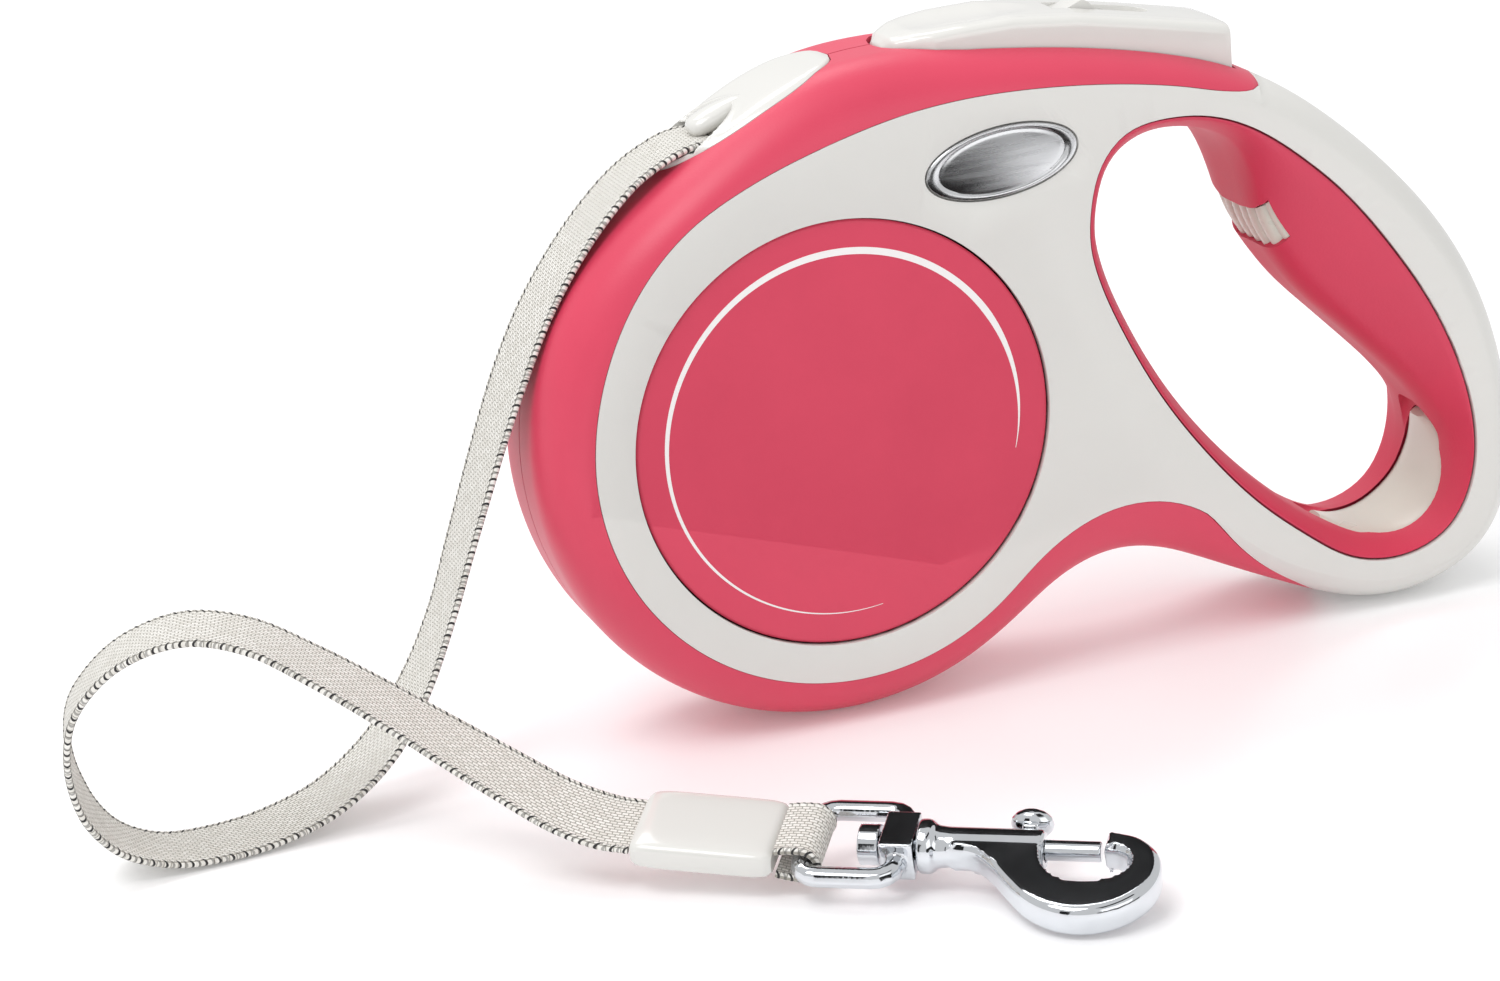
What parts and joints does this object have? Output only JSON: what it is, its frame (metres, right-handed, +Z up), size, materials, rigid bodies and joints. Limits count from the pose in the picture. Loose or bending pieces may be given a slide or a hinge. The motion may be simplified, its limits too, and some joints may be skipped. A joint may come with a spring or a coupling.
{
  "type": "retractable leash",
  "caption": "Retractable tape leash: drum housing with an open hand loop, a sprung reel with a thumb brake, and flat tape ending in a swivel snap hook.",
  "frame": {"origin": "middle of the bottom of the housing's own box, on the surface it stands on, measured without the free tape and its hook", "axes": "+X from the drum towards the hand loop, +Y from the near side to the far side, +Z up"},
  "size_m": [0.2582, 0.1274, 0.1125],
  "materials": {
    "red_abs": "pinkish red moulded ABS with a fine grain",
    "red_soft_grip": "pinkish red soft-touch elastomer, fine matt grain",
    "pale_abs": "warm pale grey moulded ABS, satin",
    "pale_gloss": "warm pale grey moulded ABS, polished",
    "badge_metal": "domed silver badge, plain",
    "chrome": "chrome-plated zinc casting",
    "steel": "bright drawn steel",
    "black_acetal": "black moulded acetal",
    "webbing": "off-white woven tape with dark marker threads along both edges"
  },
  "bodies": {
    "root": {"housing_near": "red_abs", "housing_far": "red_abs", "side_frame_near": "pale_abs", "side_frame_far": "pale_abs", "side_disc_near": "red_abs", "side_disc_far": "red_abs", "badge_near": "badge_metal", "badge_far": "badge_metal", "grip_lining": "red_soft_grip", "tape_collar": "pale_gloss", "tape_guide": "pale_gloss", "roller_pin": "steel", "button_pin": "steel", "button_spring": "steel", "reel_axle": "steel", "power_spring": "steel", "tape_inner_run": "webbing", "tape_free": "webbing", "tape_sleeve": "pale_gloss", "tape_end_loop": "webbing", "housing_screw_1": "steel", "housing_screw_2": "steel", "housing_screw_3": "steel"},
    "reel": {"reel_hub": "black_acetal", "reel_ratchet_flange": "black_acetal", "spring_cover": "black_acetal", "tape_winding": "webbing"},
    "roller": {"guide_roller": "black_acetal"},
    "button": {"brake_button": "pale_gloss", "brake_pawl": "black_acetal"},
    "lock": {"lock_slider": "pale_abs"},
    "hand_slide": {"hand_rest": "pale_gloss", "ribbed_slider": "pale_abs", "slide_bar": "black_acetal"},
    "eye": {"strap_eye": "chrome"},
    "hook": {"hook_body": "chrome", "swivel_pin": "chrome", "gate_spring": "steel"},
    "gate": {"gate_bolt": "chrome"}
  },
  "joints": [
    {"name": "reel_turn", "type": "hinge", "parent": "root", "child": "reel", "pos_m": [-0.03725, 0, 0.0505], "axis": [0, 1, 0], "continuous": true},
    {"name": "roller_turn", "type": "hinge", "parent": "root", "child": "roller", "pos_m": [-0.05275, 0, 0.0961], "axis": [0, 1, 0], "continuous": true},
    {"name": "brake_press", "type": "hinge", "parent": "root", "child": "button", "pos_m": [0.03475, 0, 0.0978], "axis": [0, -1, 0], "range_deg": [0, 4], "stiffness_Nm_per_rad": 1.2, "springref_deg": -3.44, "deforming": ["button_spring"]},
    {"name": "lock_slide", "type": "slide", "parent": "button", "child": "lock", "axis": [0.981, 0, -0.1942], "range_m": [0, 0.005]},
    {"name": "hand_size", "type": "slide", "parent": "root", "child": "hand_slide", "axis": [-0.6348, 0, 0.7727], "range_m": [0, 0.004]},
    {"name": "eye_swing", "type": "hinge", "parent": "root", "child": "eye", "pos_m": [-0.06785, -0.07, 0.0066], "axis": [0.553, 0.8046, 0.2164], "range_deg": [-60, 60]},
    {"name": "hook_swivel", "type": "hinge", "parent": "eye", "child": "hook", "pos_m": [-0.0559, -0.07821, 0.0066], "axis": [0.8241, -0.5664, 0], "continuous": true},
    {"name": "gate_slide", "type": "slide", "parent": "hook", "child": "gate", "axis": [-0.8241, 0.5664, 0], "range_m": [0, 0.0065], "stiffness_N_per_m": 200, "springref_m": -0.004, "deforming": ["gate_spring"]}
  ]
}
